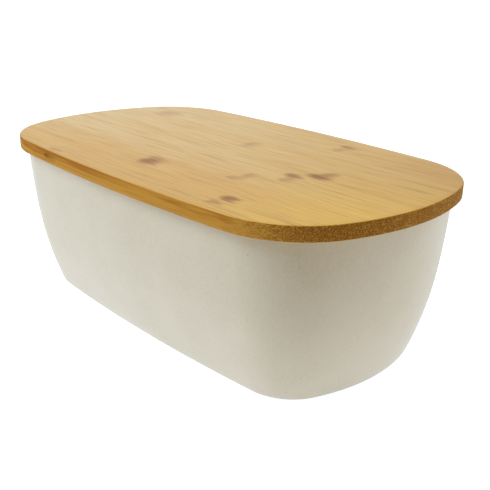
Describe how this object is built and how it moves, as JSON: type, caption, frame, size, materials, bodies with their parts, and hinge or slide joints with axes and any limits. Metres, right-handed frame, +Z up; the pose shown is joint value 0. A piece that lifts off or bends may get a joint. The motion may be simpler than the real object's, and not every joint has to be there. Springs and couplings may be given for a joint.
{
  "type": "bread bin",
  "caption": "Oblong bread bin: a moulded shell whose wall curves in towards a flat base, under a loose flat board lid of glued bamboo strips.",
  "frame": {"origin": "on the surface that the bin stands on, under the middle of the bin", "axes": "+X along the bin's length, +Y across it from the front long side to the back one, +Z up"},
  "size_m": [0.36, 0.203, 0.1265],
  "materials": {
    "bamboo_fibre": "satin",
    "bamboo": "satin"
  },
  "bodies": {
    "bin": {"bin_shell": "bamboo_fibre"},
    "lid": {"lid_strip_1": "bamboo", "lid_strip_2": "bamboo", "lid_strip_3": "bamboo", "lid_strip_4": "bamboo", "lid_strip_5": "bamboo", "lid_strip_6": "bamboo", "lid_strip_7": "bamboo", "lid_strip_8": "bamboo", "lid_strip_9": "bamboo", "lid_strip_10": "bamboo"}
  },
  "joints": [
    {"name": "lid_lift", "type": "slide", "parent": "bin", "child": "lid", "axis": [0, 0, 1], "range_m": [0, 0.16]}
  ]
}
